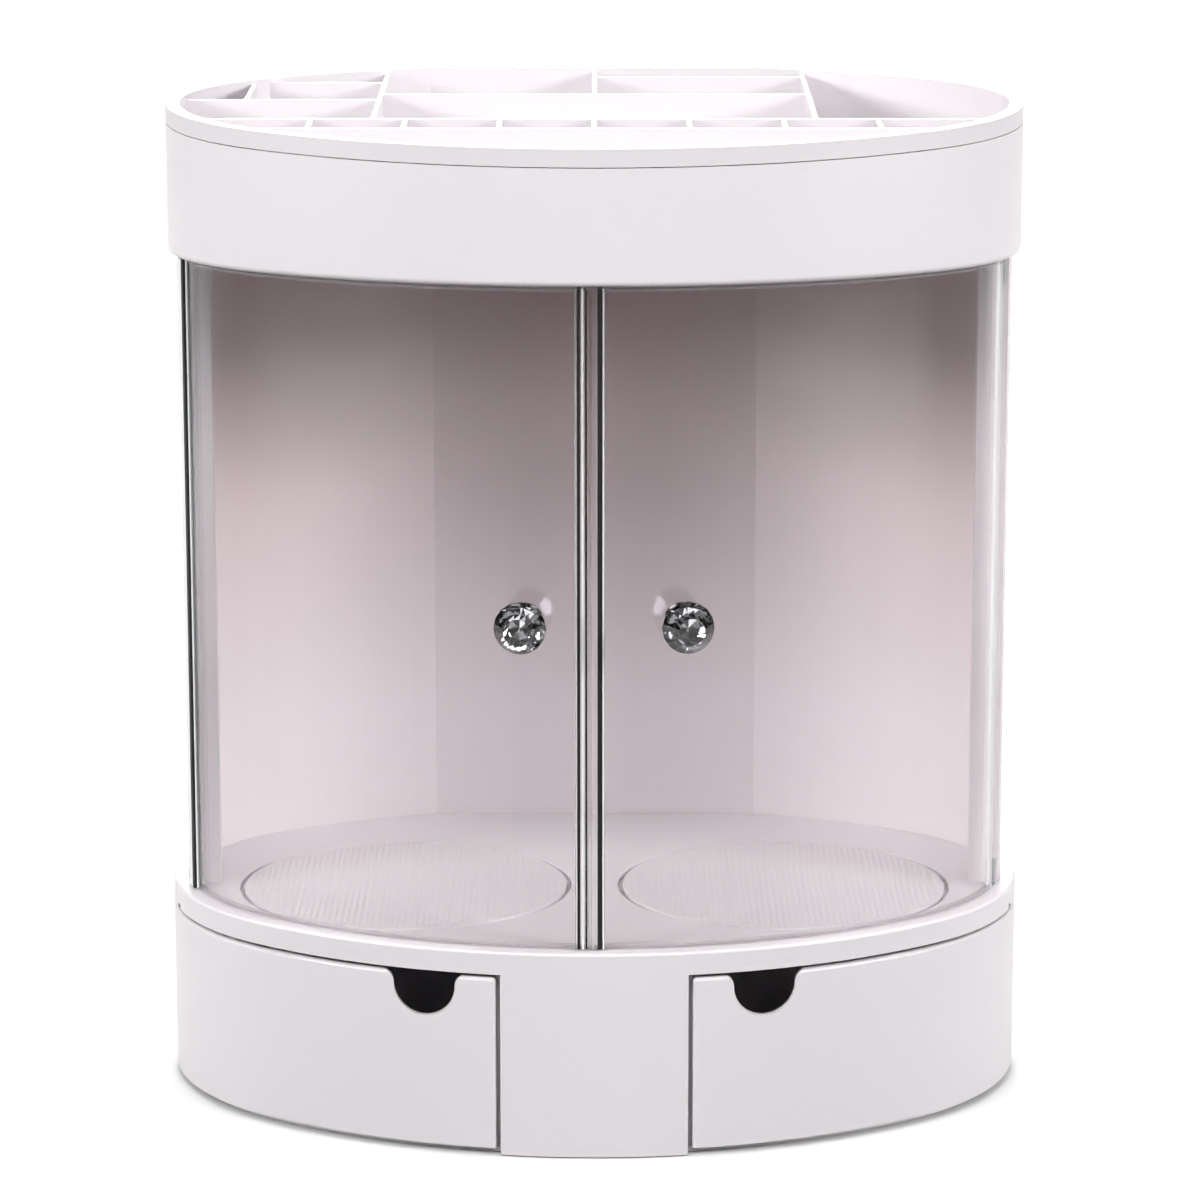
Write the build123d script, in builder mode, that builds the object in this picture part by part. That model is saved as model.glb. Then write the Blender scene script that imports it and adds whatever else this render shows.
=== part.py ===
from build123d import *
import os
from math import asin, atan2, copysign, cos, degrees, radians, sin, sqrt, tan

# Oval makeup organizer, in millimetres. The origin is on the table, under the middle of the
# oval's widest line, with +X to the right, +Y to the flat back and +Z up.

# Plan of the tray and its housing
half_width = 150.0
front_depth = 111.0
back_flat = 84.0
rear_bulge = 9.0
front_end_share = 0.81
rear_end_share = 0.72
base_flare = 2.5
cabinet_inset = 3.0
half_turn = 180.0

# Heights
foot_height = 0.8
deck_height = 72.3
fascia_height = 8.0
cabinet_height = 226.0
housing_height = 45.9
rim_band_height = 6.4
rim_tilt = 3.52

# Walls
housing_wall = 2.4
roof_thickness = 2.5
tray_wall = 1.8
tray_floor = 2.0
divider_wall = 1.6
shell_wall = 2.4
base_wall = 2.4
deck_thickness = 3.6
plate_thickness = 1.6
drawer_wall = 2.0
drawer_front_wall = 2.4
door_thickness = 2.0

# Clearances and the overrun of cuts
tray_gap = 0.5
rim_gap = 0.35
running_gap = 0.3
pin_clearance = 0.05
door_gap = 0.6
drawer_gap = 1.4
groove_gap = 0.3
screw_room = 0.2
overrun = 3.0

# Rounded edges
rim_round = 1.2
housing_round = 2.0
deck_round = 1.0
post_round = 1.0
drawer_round = 1.2
strip_round = 0.7

# Tray compartments, with places as shares of the front depth, half width or back
divider_drop = 1.6
slot_pitch = 32.4
slot_dividers = 7
slot_back_share = 0.31
slot_front_share = 0.503
side_divider_share = 0.507
middle_wall_share = 0.281
left_rear_wall_share = 0.625
left_front_wall_share = 0.121
corner_divider_share = 0.82
right_rear_wall_share = 0.794

# Back shell
jamb_width = 8.0
jamb_depth = 7.0
jamb_step = 4.0
groove_depth = 1.0
groove_seat = 0.8

# Doors
seam_x = -1.5
seam_gap = 0.8
hinge_setback = 24.3
strip_wall = 1.3
strip_length = 4.6
door_pin_radius = 1.1
door_pin_seat = 9.0
door_pin_reach = 2.0

# Knobs
left_knob_x = -23.1
right_knob_x = 29.3
knob_rise = 113.6
crystal_radius = 8.8
crystal_depth = 12.3
crystal_girdle_share = 0.42
crystal_table_share = 0.5
crystal_back_share = 0.62
crystal_sides = 8
knob_rosette_radius = 6.4
knob_rosette = 1.4
knob_neck_radius = 3.4
knob_neck = 3.4
knob_cup = 2.2
knob_screw_radius = 1.9
knob_screw_head_radius = 3.6
knob_screw_head = 2.0
knob_screw_depth = 5.0

# Turntables
turntable_x_share = 0.45
turntable_y_share = 0.216
turntable_spacing = 20.0
turntable_groove = 1.8
turntable_recess = 2.0
turntable_rise = 0.2
spindle_radius = 4.0
washer_radius = 8.0
washer_thickness = 0.8
spindle_screw_radius = 1.4
spindle_screw_head_radius = 3.2
spindle_screw_head = 1.6
spindle_screw_depth = 2.6

# Base post, drawers and their pivots
post_width = 64.0
post_depth = 22.0
post_lift = 0.5
partition_offset = 22.0
drawer_end_setback = 5.0
drawer_end_radius = 6.0
drawer_end_room = 1.2
relief_setback = 27.0
relief_radius = 1.9
drawer_pin_radius = 1.5
drawer_pin_seat = 2.4
drawer_rear_angle = 14.0
drawer_wall_drop = 7.0
drawer_floor = 1.8
notch_x = 58.0
notch_radius = 10.5
notch_flare = 4.2
notch_lift = 0.3

# Fasteners and feet
plate_screw_radius = 1.5
plate_screw_head_radius = 3.0
plate_screw_length = 12.0
plate_boss_radius = 4.0
plate_screw_side_share = 0.56
plate_screw_rear_share = 0.55
plate_screw_middle_share = 0.78
jamb_screw_radius = 1.2
jamb_screw_head_radius = 2.4
jamb_screw_length = 11.0
foot_radius = 7.0
foot_side_share = 0.66
foot_depth_share = 0.5

# Levels worked out from the heights above
roof_height = deck_height + cabinet_height
seam_height = roof_height + housing_height
rim_height = seam_height + rim_band_height
deck_bottom = deck_height - deck_thickness
fascia_bottom = deck_height - fascia_height
plate_top = foot_height + plate_thickness
drawer_bottom = plate_top + running_gap
drawer_top = fascia_bottom - drawer_gap
drawer_wall_top = drawer_top - drawer_wall_drop
door_bottom = deck_height + door_gap
door_height = cabinet_height - 2 * door_gap
tray_bottom = roof_height + roof_thickness
knob_height = deck_height + knob_rise
rim_climb = back_flat * tan(radians(rim_tilt))
rim_fall = front_depth * tan(radians(rim_tilt))
stock_top = rim_height + rim_climb + overrun

# Offsets of the walls from the tray's plan
tray_outside = -housing_wall - tray_gap
tray_inside = tray_outside - tray_wall
door_outside = -cabinet_inset
door_inside = door_outside - door_thickness
shell_inside = -cabinet_inset - shell_wall
strip_outside = door_outside + strip_wall
strip_inside = door_inside - strip_wall
strip_radius = door_thickness / 2 + strip_wall
far = half_width + front_depth + base_flare + overrun

# Arcs of the plan: a long arc in front between two end arcs, and the same behind, cut by the flat back
front_end_radius = front_depth * front_end_share
front_end_x = half_width - front_end_radius
front_run = front_depth - front_end_radius
front_centre_y = (front_end_x ** 2 - front_run ** 2) / (2 * front_run)
front_radius = front_depth + front_centre_y
front_join = degrees(atan2(front_centre_y, front_end_x))
rear_depth = back_flat + rear_bulge
rear_end_radius = rear_depth * rear_end_share
rear_end_x = half_width - rear_end_radius
rear_run = rear_depth - rear_end_radius
rear_centre_y = (rear_end_x ** 2 - rear_run ** 2) / (2 * rear_run)
rear_radius = rear_depth + rear_centre_y
rear_join = degrees(atan2(rear_centre_y, rear_end_x))


def oval(grow):
    """Plan of the organizer, offset outwards: tangent arcs in front and behind, and a flat back."""
    front_end = front_end_radius + grow
    rear_end = rear_end_radius + grow
    rear_cut = degrees(asin((back_flat + grow + rear_centre_y) / (rear_radius + grow)))
    rear_sweep = rear_cut - rear_join
    with BuildSketch() as plan:
        with BuildLine():
            CenterArc((-front_end_x, 0), front_end, half_turn, front_join)
            front_sweep = half_turn - 2 * front_join
            CenterArc((0, front_centre_y), front_radius + grow, half_turn + front_join, front_sweep)
            CenterArc((front_end_x, 0), front_end, -front_join, front_join)
            CenterArc((rear_end_x, 0), rear_end, 0, rear_join)
            right = CenterArc((0, -rear_centre_y), rear_radius + grow, rear_join, rear_sweep)
            left = CenterArc((0, -rear_centre_y), rear_radius + grow, half_turn - rear_cut, rear_sweep)
            CenterArc((-rear_end_x, 0), rear_end, half_turn - rear_join, rear_join)
            Line(right @ 1, left @ 0)
        make_face()
    return plan.sketch


def band(outer, inner):
    """Ring between two offsets of the plan."""
    with BuildSketch() as ring:
        add(oval(outer))
        add(oval(inner), mode=Mode.SUBTRACT)
    return ring.sketch


def tilted(height):
    """Plane of the sloping rim, at this height over the widest line."""
    normal = (0, -sin(radians(rim_tilt)), cos(radians(rim_tilt)))
    return Plane(origin=(0, 0, height), x_dir=(1, 0, 0), z_dir=normal)


def front_x(grow, y):
    """X of the left front curve at a depth."""
    end = front_end_radius + grow
    if -y < end * sin(radians(front_join)):
        return -front_end_x - sqrt(end ** 2 - y ** 2)
    return -sqrt((front_radius + grow) ** 2 - (front_centre_y - y) ** 2)


def front_y(grow, x):
    """Y of the front curve at a distance from the middle."""
    end = front_end_radius + grow
    if abs(x) > front_end_x + end * cos(radians(front_join)):
        return -sqrt(end ** 2 - (abs(x) - front_end_x) ** 2)
    return front_centre_y - sqrt((front_radius + grow) ** 2 - x ** 2)


def front_normal(x, y):
    """Outward direction of the front curve at one of its points."""
    if degrees(atan2(front_centre_y - y, abs(x))) < front_join:
        return Vector(x - copysign(front_end_x, x), y, 0).normalized()
    return Vector(x, y - front_centre_y, 0).normalized()


def knob_plane(x):
    """Plane on the door's outer face at a knob, with +Z pointing out of the door."""
    y = front_y(door_outside, x)
    return Plane(origin=(x, y, knob_height), x_dir=(0, 0, 1), z_dir=front_normal(x, y))


def save(builder, label):
    """Labels a finished piece and writes it."""
    builder.part.label = label
    export_step(builder.part, f"parts/{label}.step")


def mirrored(builder):
    """The same piece on the other side."""
    with BuildPart() as other:
        mirror(builder.part, about=Plane.YZ)
    return other


hinge_y = -hinge_setback
hinge_x = front_x(door_outside - door_thickness / 2, hinge_y)
shell_front = hinge_y + jamb_step
jamb_x = front_x(shell_inside, shell_front)
jamb_screw_places = [
    (side * (abs(jamb_x) - jamb_width / 2), shell_front + jamb_depth / 2) for side in (-1, 1)
]

drawer_end_y = -drawer_end_setback
drawer_end_x = front_x(base_flare, drawer_end_y)
drawer_end_normal = front_normal(drawer_end_x, drawer_end_y)
pivot_x = drawer_end_x - drawer_end_radius * drawer_end_normal.X
pivot_y = drawer_end_y - drawer_end_radius * drawer_end_normal.Y
drawer_inner_x = -post_width / 2 - drawer_gap
base_wall_front = pivot_y + drawer_end_radius + drawer_end_room
relief_x = front_x(base_flare, -relief_setback)

turntable_x = half_width * turntable_x_share
turntable_y = -front_depth * turntable_y_share
turntable_radius = turntable_x - turntable_spacing / 2

plate_screw_places = [(0, -front_depth * plate_screw_middle_share), (0, back_flat * plate_screw_middle_share)]
for side in (-1, 1):
    plate_screw_places.append((side * half_width * plate_screw_side_share, back_flat * plate_screw_rear_share))

os.makedirs("parts", exist_ok=True)

# Compartment tray: floor, outer wall and dividers, under a rim band that sits over the housing
with BuildPart() as rim_band:
    with BuildSketch(Plane.XY.offset(seam_height - rim_fall - overrun)):
        add(band(0, tray_inside))
    extrude(amount=stock_top - seam_height + rim_fall + overrun)
    split(bisect_by=tilted(seam_height + rim_gap), keep=Keep.TOP)
    split(bisect_by=tilted(rim_height), keep=Keep.BOTTOM)
    fillet(rim_band.faces().sort_by(Axis.Z)[-1].edges(), rim_round)

slot_back_y = -front_depth * slot_back_share
slot_front_y = -front_depth * slot_front_share
side_divider_x = half_width * side_divider_share
middle_wall_y = back_flat * middle_wall_share
left_rear_wall_y = back_flat * left_rear_wall_share
left_front_wall_y = back_flat * left_front_wall_share
right_rear_wall_y = back_flat * right_rear_wall_share
corner_divider_x = -half_width * corner_divider_share

with BuildPart() as compartment_tray:
    with BuildSketch(Plane.XY.offset(tray_bottom)):
        add(oval(tray_outside))
    extrude(amount=tray_floor)
    with BuildSketch(Plane.XY.offset(tray_bottom)):
        add(band(tray_outside, tray_inside))
    extrude(amount=stock_top - tray_bottom)
    with BuildSketch(Plane.XY.offset(tray_bottom)):
        with Locations((0, slot_back_y), (0, slot_front_y)):
            Rectangle(2 * half_width, divider_wall)
        with Locations((0, (slot_back_y + slot_front_y) / 2)):
            with GridLocations(slot_pitch, 0, slot_dividers, 1):
                Rectangle(divider_wall, slot_back_y - slot_front_y)
        with Locations((-side_divider_x, slot_back_y), (side_divider_x, slot_back_y)):
            Rectangle(divider_wall, front_depth + back_flat, align=(Align.CENTER, Align.MIN))
        with Locations((0, middle_wall_y)):
            Rectangle(2 * side_divider_x, divider_wall)
            Rectangle(divider_wall, back_flat, align=(Align.CENTER, Align.MIN))
        with Locations((0, right_rear_wall_y)):
            Rectangle(side_divider_x, divider_wall, align=(Align.MIN, Align.CENTER))
        with Locations((-side_divider_x, left_rear_wall_y), (-side_divider_x, left_front_wall_y)):
            Rectangle(half_width, divider_wall, align=(Align.MAX, Align.CENTER))
        with Locations((corner_divider_x, left_front_wall_y)):
            Rectangle(divider_wall, back_flat, align=(Align.CENTER, Align.MIN))
        add(oval(tray_inside + tray_wall / 2), mode=Mode.INTERSECT)
    extrude(amount=stock_top - tray_bottom)
    split(bisect_by=tilted(rim_height - divider_drop), keep=Keep.BOTTOM)
    add(rim_band.part)
save(compartment_tray, "compartment_tray")

# Top housing: oval wall and cabinet roof
with BuildPart() as top_housing:
    with BuildSketch(Plane.XY.offset(roof_height)):
        add(oval(0))
    extrude(amount=stock_top - roof_height)
    with BuildSketch(Plane.XY.offset(tray_bottom)):
        add(oval(-housing_wall))
    extrude(amount=stock_top - tray_bottom + overrun, mode=Mode.SUBTRACT)
    split(bisect_by=tilted(seam_height), keep=Keep.BOTTOM)
    fillet(top_housing.edges().group_by(Axis.Z)[0], housing_round)
    with BuildSketch(Plane.XY.offset(roof_height)):
        add(band(-cabinet_inset + groove_gap, shell_inside - groove_gap))
        with Locations((0, shell_front - groove_gap)):
            Rectangle(2 * far, far, align=(Align.CENTER, Align.MIN), mode=Mode.INTERSECT)
    extrude(amount=groove_depth, mode=Mode.SUBTRACT)
    with Locations((hinge_x, hinge_y, tray_bottom), (-hinge_x, hinge_y, tray_bottom)):
        Hole(door_pin_radius + pin_clearance, depth=roof_thickness + overrun)
    with Locations(*[(x, y, tray_bottom) for x, y in jamb_screw_places]):
        CounterSinkHole(jamb_screw_radius, jamb_screw_head_radius, depth=roof_thickness + overrun)
save(top_housing, "top_housing")

# Back shell: rear wall in the grooves of the deck and roof, with a jamb post beside each door
with BuildPart() as back_shell:
    with BuildSketch(Plane.XY.offset(deck_height - groove_seat)):
        add(band(-cabinet_inset, shell_inside))
        with Locations((0, shell_front)):
            Rectangle(2 * far, far, align=(Align.CENTER, Align.MIN), mode=Mode.INTERSECT)
    extrude(amount=cabinet_height + 2 * groove_seat)
    with BuildSketch(Plane.XY.offset(deck_height)):
        with Locations((shell_wall - jamb_x, shell_front)):
            Rectangle(jamb_width + shell_wall, jamb_depth, align=(Align.MAX, Align.MIN))
        mirror(about=Plane.YZ)
        add(oval(-cabinet_inset - shell_wall / 2), mode=Mode.INTERSECT)
    extrude(amount=cabinet_height)
    for level in (deck_height, roof_height - jamb_screw_length):
        with BuildSketch(Plane.XY.offset(level)):
            with Locations(*jamb_screw_places):
                Circle(jamb_screw_radius)
        extrude(amount=jamb_screw_length, mode=Mode.SUBTRACT)
save(back_shell, "back_shell")

# Base housing: cabinet floor, fascia, rear wall, centre post and the partitions behind it
with BuildPart() as base_housing:
    with BuildSketch(Plane.XY.offset(deck_bottom)):
        add(oval(base_flare))
    extrude(amount=deck_thickness)
    fillet(base_housing.edges().group_by(Axis.Z)[-1], deck_round)
    with BuildSketch(Plane.XY.offset(fascia_bottom)):
        add(band(base_flare, base_flare - base_wall))
    extrude(amount=deck_bottom - fascia_bottom)
    with BuildSketch(Plane.XY.offset(foot_height)):
        add(band(base_flare, base_flare - base_wall))
        with Locations((0, base_wall_front)):
            Rectangle(2 * far, far, align=(Align.CENTER, Align.MIN), mode=Mode.INTERSECT)
    extrude(amount=fascia_bottom - foot_height)
    with BuildSketch(Plane.XY.offset(post_lift)) as post_plan:
        add(band(base_flare, base_flare - base_wall))
        Rectangle(post_width, far, align=(Align.CENTER, Align.MAX), mode=Mode.INTERSECT)
        fillet(post_plan.vertices().sort_by(Axis.Y)[:2], post_round)
    extrude(amount=fascia_bottom - post_lift)
    with BuildSketch(Plane.XY.offset(plate_top)):
        with Locations((-partition_offset, 0), (partition_offset, 0)):
            Rectangle(base_wall, 2 * far)
        for side in (-1, 1):
            with Locations((side * (post_width - base_wall) / 2, post_depth - front_depth - base_flare)):
                Rectangle(base_wall, far, align=(Align.CENTER, Align.MAX))
        add(oval(base_flare - base_wall / 2), mode=Mode.INTERSECT)
    extrude(amount=deck_bottom - plate_top)
    with BuildSketch(Plane.XY.offset(plate_top)):
        with Locations(*plate_screw_places):
            Circle(plate_boss_radius)
    extrude(amount=deck_bottom - plate_top)
    with BuildSketch(Plane.XY.offset(plate_top)):
        with Locations(*plate_screw_places):
            Circle(plate_screw_radius)
    extrude(amount=plate_screw_length - plate_thickness, mode=Mode.SUBTRACT)
    with BuildSketch(Plane.XY.offset(deck_height)):
        with Locations((-turntable_x, turntable_y), (turntable_x, turntable_y)):
            Circle(turntable_radius + turntable_groove)
    extrude(amount=-turntable_recess, mode=Mode.SUBTRACT)
    with BuildSketch(Plane.XY.offset(deck_height)):
        with Locations((-turntable_x, turntable_y), (turntable_x, turntable_y)):
            Circle(spindle_radius + pin_clearance)
    extrude(amount=-deck_thickness - overrun, mode=Mode.SUBTRACT)
    with BuildSketch(Plane.XY.offset(deck_height)):
        add(band(-cabinet_inset + groove_gap, shell_inside - groove_gap))
        with Locations((0, shell_front - groove_gap)):
            Rectangle(2 * far, far, align=(Align.CENTER, Align.MIN), mode=Mode.INTERSECT)
    extrude(amount=-groove_depth, mode=Mode.SUBTRACT)
    with BuildSketch(Plane.XY.offset(deck_height)):
        with Locations((hinge_x, hinge_y), (-hinge_x, hinge_y)):
            Circle(door_pin_radius + pin_clearance)
    extrude(amount=-door_pin_reach - running_gap, mode=Mode.SUBTRACT)
    with BuildSketch(Plane.XY.offset(deck_bottom)):
        with Locations((pivot_x, pivot_y), (-pivot_x, pivot_y)):
            Circle(drawer_pin_radius)
    extrude(amount=drawer_pin_seat, mode=Mode.SUBTRACT)
    with Locations(*[Location((x, y, deck_bottom), (180, 0, 0)) for x, y in jamb_screw_places]):
        CounterSinkHole(jamb_screw_radius, jamb_screw_head_radius, depth=deck_thickness + overrun)
    for side in (-1, 1):
        outward = front_normal(side * relief_x, -relief_setback)
        relief_origin = (side * relief_x, -relief_setback, fascia_bottom)
        with BuildSketch(Plane(origin=relief_origin, x_dir=(0, 0, 1), z_dir=outward)):
            Circle(relief_radius)
        extrude(amount=base_wall + running_gap, both=True, mode=Mode.SUBTRACT)
save(base_housing, "base_housing")

# Base plate: bottom cover with countersunk holes and the lower seats of the drawer pins
plate_edge = base_flare - drawer_front_wall - 2 * running_gap
with BuildPart() as base_plate:
    with BuildSketch(Plane.XY.offset(foot_height)):
        add(oval(plate_edge))
    extrude(amount=plate_thickness)
    with Locations(*[Location((x, y, foot_height), (180, 0, 0)) for x, y in plate_screw_places]):
        CounterSinkHole(plate_screw_radius, plate_screw_head_radius, depth=plate_thickness + overrun)
    with BuildSketch(Plane.XY.offset(foot_height)):
        with Locations((pivot_x, pivot_y), (-pivot_x, pivot_y)):
            Circle(drawer_pin_radius)
    extrude(amount=plate_thickness, mode=Mode.SUBTRACT)
save(base_plate, "base_plate")

# Rubber feet: pads at the corners and one in the middle
with BuildPart() as rubber_feet:
    with BuildSketch():
        with Locations((0, 0)):
            Circle(foot_radius)
        for side in (-1, 1):
            for depth in (-front_depth, back_flat):
                with Locations((side * half_width * foot_side_share, depth * foot_depth_share)):
                    Circle(foot_radius)
    extrude(amount=foot_height)
save(rubber_feet, "rubber_feet")


def flat_screw(radius, head_radius, length):
    """Countersunk screw pointing up, with its flat head on the local XY plane."""
    head = head_radius - radius
    with BuildPart() as screw:
        with BuildSketch(Plane.XZ):
            with BuildLine():
                Polyline((0, 0), (head_radius, 0), (radius, head), (radius, length), (0, length), close=True)
            make_face()
        revolve(axis=Axis.Z)
    return screw.part


def screw_group(screw, places, label):
    """Identical screws in one node."""
    with BuildPart() as group:
        with Locations(*places):
            add(screw)
    save(group, label)


plate_screw = flat_screw(plate_screw_radius, plate_screw_head_radius, plate_screw_length - running_gap)
screw_group(plate_screw, [Location((x, y, foot_height)) for x, y in plate_screw_places], "base_screws")
jamb_screw = flat_screw(jamb_screw_radius, jamb_screw_head_radius, jamb_screw_length)
screw_group(jamb_screw, [Location((x, y, deck_bottom)) for x, y in jamb_screw_places], "deck_screws")
roof_places = [Location((x, y, tray_bottom), (180, 0, 0)) for x, y in jamb_screw_places]
screw_group(jamb_screw, roof_places, "roof_screws")

# Turntables: a disc with a spindle through the deck, held by a washer and a screw
spindle_end = deck_height - deck_thickness - running_gap
disc_bottom = deck_height - turntable_recess + running_gap
with BuildPart() as left_turntable:
    with BuildSketch(Plane.XY.offset(disc_bottom)):
        with Locations((-turntable_x, turntable_y)):
            Circle(turntable_radius)
    extrude(amount=deck_height + turntable_rise - disc_bottom)
    with BuildSketch(Plane.XY.offset(spindle_end)):
        with Locations((-turntable_x, turntable_y)):
            Circle(spindle_radius)
    extrude(amount=disc_bottom - spindle_end)
    with BuildSketch(Plane.XY.offset(spindle_end)):
        with Locations((-turntable_x, turntable_y)):
            Circle(spindle_screw_radius)
    extrude(amount=spindle_screw_depth, mode=Mode.SUBTRACT)
save(left_turntable, "left_turntable")
save(mirrored(left_turntable), "right_turntable")

with BuildPart() as left_washer:
    with BuildSketch(Plane.XY.offset(spindle_end)):
        with Locations((-turntable_x, turntable_y)):
            Circle(washer_radius)
            Circle(spindle_screw_radius, mode=Mode.SUBTRACT)
    extrude(amount=-washer_thickness)
save(left_washer, "left_turntable_washer")
save(mirrored(left_washer), "right_turntable_washer")

with BuildPart() as left_spindle_screw:
    with BuildSketch(Plane.XY.offset(spindle_end - washer_thickness)):
        with Locations((-turntable_x, turntable_y)):
            Circle(spindle_screw_head_radius)
    extrude(amount=-spindle_screw_head)
    with BuildSketch(Plane.XY.offset(spindle_end - washer_thickness)):
        with Locations((-turntable_x, turntable_y)):
            Circle(spindle_screw_radius)
    extrude(amount=washer_thickness + spindle_screw_depth - running_gap)
save(left_spindle_screw, "left_turntable_screw")
save(mirrored(left_spindle_screw), "right_turntable_screw")

# Drawers: sector boxes behind a curved front, round at the pivot end
rear_slope = tan(radians(drawer_rear_angle))
rear_reach = cos(radians(drawer_rear_angle))
notch_depth = notch_radius + notch_flare
notch_mouth = drawer_top + notch_lift


def drawer_rear_y(x, wall):
    """Depth of the drawer's rear wall, or of its inner face when wall is its thickness."""
    return pivot_y + (drawer_end_radius - wall) / rear_reach + (x - pivot_x) * rear_slope


with BuildSketch() as drawer_plan:
    add(oval(base_flare))
    with BuildLine():
        Polyline(
            (drawer_inner_x, -far),
            (drawer_inner_x, drawer_rear_y(drawer_inner_x, 0)),
            (
                pivot_x - drawer_end_radius * sin(radians(drawer_rear_angle)),
                pivot_y + drawer_end_radius * rear_reach,
            ),
            (pivot_x, pivot_y),
            (
                pivot_x + drawer_end_normal.X * (drawer_end_radius + overrun),
                pivot_y + drawer_end_normal.Y * (drawer_end_radius + overrun),
            ),
            (-far, -far),
            close=True,
        )
    make_face(mode=Mode.INTERSECT)
    with Locations((pivot_x, pivot_y)):
        Circle(drawer_end_radius)

cavity_end_x = pivot_x + drawer_end_radius + drawer_wall
cavity_inner_x = drawer_inner_x - drawer_wall
with BuildSketch() as drawer_cavity:
    add(oval(base_flare - drawer_front_wall))
    with BuildLine():
        Polyline(
            (cavity_inner_x, -far),
            (cavity_inner_x, drawer_rear_y(cavity_inner_x, drawer_wall)),
            (cavity_end_x, drawer_rear_y(cavity_end_x, drawer_wall)),
            (cavity_end_x, -far),
            close=True,
        )
    make_face(mode=Mode.INTERSECT)

with BuildSketch() as drawer_front:
    add(drawer_plan.sketch)
    add(oval(base_flare - drawer_front_wall), mode=Mode.SUBTRACT)

with BuildPart() as left_drawer:
    with BuildSketch(Plane.XY.offset(drawer_bottom)):
        add(drawer_front.sketch)
    extrude(amount=drawer_top - drawer_bottom)
    front_corner = left_drawer.edges().filter_by(Axis.Z).sort_by(Axis.X)[-2:].sort_by(Axis.Y)[0]
    fillet(front_corner, drawer_round)
    rim_edges = left_drawer.edges().group_by(Axis.Z)[-1].sort_by(SortBy.LENGTH)[-2:].sort_by(Axis.Y)[0]
    fillet(rim_edges, drawer_round)
    with BuildSketch(Plane.XY.offset(drawer_bottom)):
        add(drawer_plan.sketch)
        add(oval(base_flare - drawer_front_wall / 2), mode=Mode.INTERSECT)
        add(drawer_cavity.sketch, mode=Mode.SUBTRACT)
    extrude(amount=drawer_wall_top - drawer_bottom)
    with BuildSketch(Plane.XY.offset(drawer_bottom)):
        add(drawer_plan.sketch)
        add(oval(base_flare - drawer_front_wall / 2), mode=Mode.INTERSECT)
    extrude(amount=drawer_floor)
    with BuildSketch(Plane.XY.offset(drawer_bottom)):
        with Locations((pivot_x, pivot_y)):
            Circle(drawer_end_radius)
    extrude(amount=drawer_top - drawer_bottom)
    with BuildSketch(Plane.XY.offset(drawer_bottom)):
        with Locations((pivot_x, pivot_y)):
            Circle(drawer_pin_radius + pin_clearance)
    extrude(amount=drawer_top, mode=Mode.SUBTRACT)
    with BuildSketch(Plane.XZ.offset(front_depth + base_flare + overrun)) as notch:
        with Locations((-notch_x, drawer_top - notch_depth + notch_radius)):
            Circle(notch_radius)
        with Locations((-notch_x, notch_mouth)):
            Rectangle(2 * notch_radius, notch_depth - notch_radius + notch_lift, align=(Align.CENTER, Align.MAX))
            Rectangle(4 * notch_radius, overrun, align=(Align.CENTER, Align.MIN))
        corners = notch.vertices().group_by(Axis.Y)[-2].sort_by(Axis.X)[1:-1]
        fillet(corners, notch_flare)
    extrude(amount=-front_depth / 2, mode=Mode.SUBTRACT)
save(left_drawer, "left_drawer")
save(mirrored(left_drawer), "right_drawer")

with BuildPart() as left_drawer_pin:
    with BuildSketch(Plane.XY.offset(foot_height)):
        with Locations((pivot_x, pivot_y)):
            Circle(drawer_pin_radius)
    extrude(amount=deck_bottom + drawer_pin_seat - foot_height)
save(left_drawer_pin, "left_drawer_pin")
save(mirrored(left_drawer_pin), "right_drawer_pin")


def panel_outline(edge_x):
    """Plan of a left door panel, from inside its hinge strip to inside its meeting strip."""
    with BuildSketch() as outline:
        add(band(door_outside, door_inside))
        with Locations((edge_x - strip_wall, hinge_y - strip_radius)):
            Rectangle(far, far, align=(Align.MAX, Align.MAX), mode=Mode.INTERSECT)
    return outline.sketch


def door_panel(edge_x, knob_x):
    """Clear panel of a left door, with the hole of its knob."""
    with BuildPart() as panel:
        with BuildSketch(Plane.XY.offset(door_bottom)):
            add(panel_outline(edge_x))
        extrude(amount=door_height)
        with BuildSketch(knob_plane(knob_x)):
            Circle(knob_screw_radius + screw_room)
        extrude(amount=door_thickness + overrun, both=True, mode=Mode.SUBTRACT)
    return panel


def meeting_strip(edge_x):
    """Edge channel of a left door where the two doors meet."""
    with BuildPart() as strip:
        with BuildSketch(Plane.XY.offset(door_bottom)):
            add(band(strip_outside, strip_inside))
            with Locations((edge_x, 0)):
                Rectangle(strip_length, far, align=(Align.MAX, Align.MAX), mode=Mode.INTERSECT)
            add(panel_outline(edge_x), mode=Mode.SUBTRACT)
        extrude(amount=door_height)
        outer_edges = strip.edges().filter_by(Axis.Z).group_by(Axis.Y)
        fillet(outer_edges[0] + outer_edges[-1], strip_round)
    return strip


def hinge_strip(edge_x):
    """Edge channel of a left door that holds its pins."""
    with BuildPart() as strip:
        with BuildSketch(Plane.XY.offset(door_bottom)):
            add(band(strip_outside, strip_inside))
            with Locations((0, hinge_y)):
                Rectangle(far, strip_radius + strip_length, align=(Align.MAX, Align.MAX), mode=Mode.INTERSECT)
            with Locations((hinge_x, hinge_y)):
                Circle(strip_radius)
            add(panel_outline(edge_x), mode=Mode.SUBTRACT)
        extrude(amount=door_height)
        for level in (door_bottom, door_bottom + door_height - door_pin_seat):
            with BuildSketch(Plane.XY.offset(level)):
                with Locations((hinge_x, hinge_y)):
                    Circle(door_pin_radius)
            extrude(amount=door_pin_seat, mode=Mode.SUBTRACT)
    return strip


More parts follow.
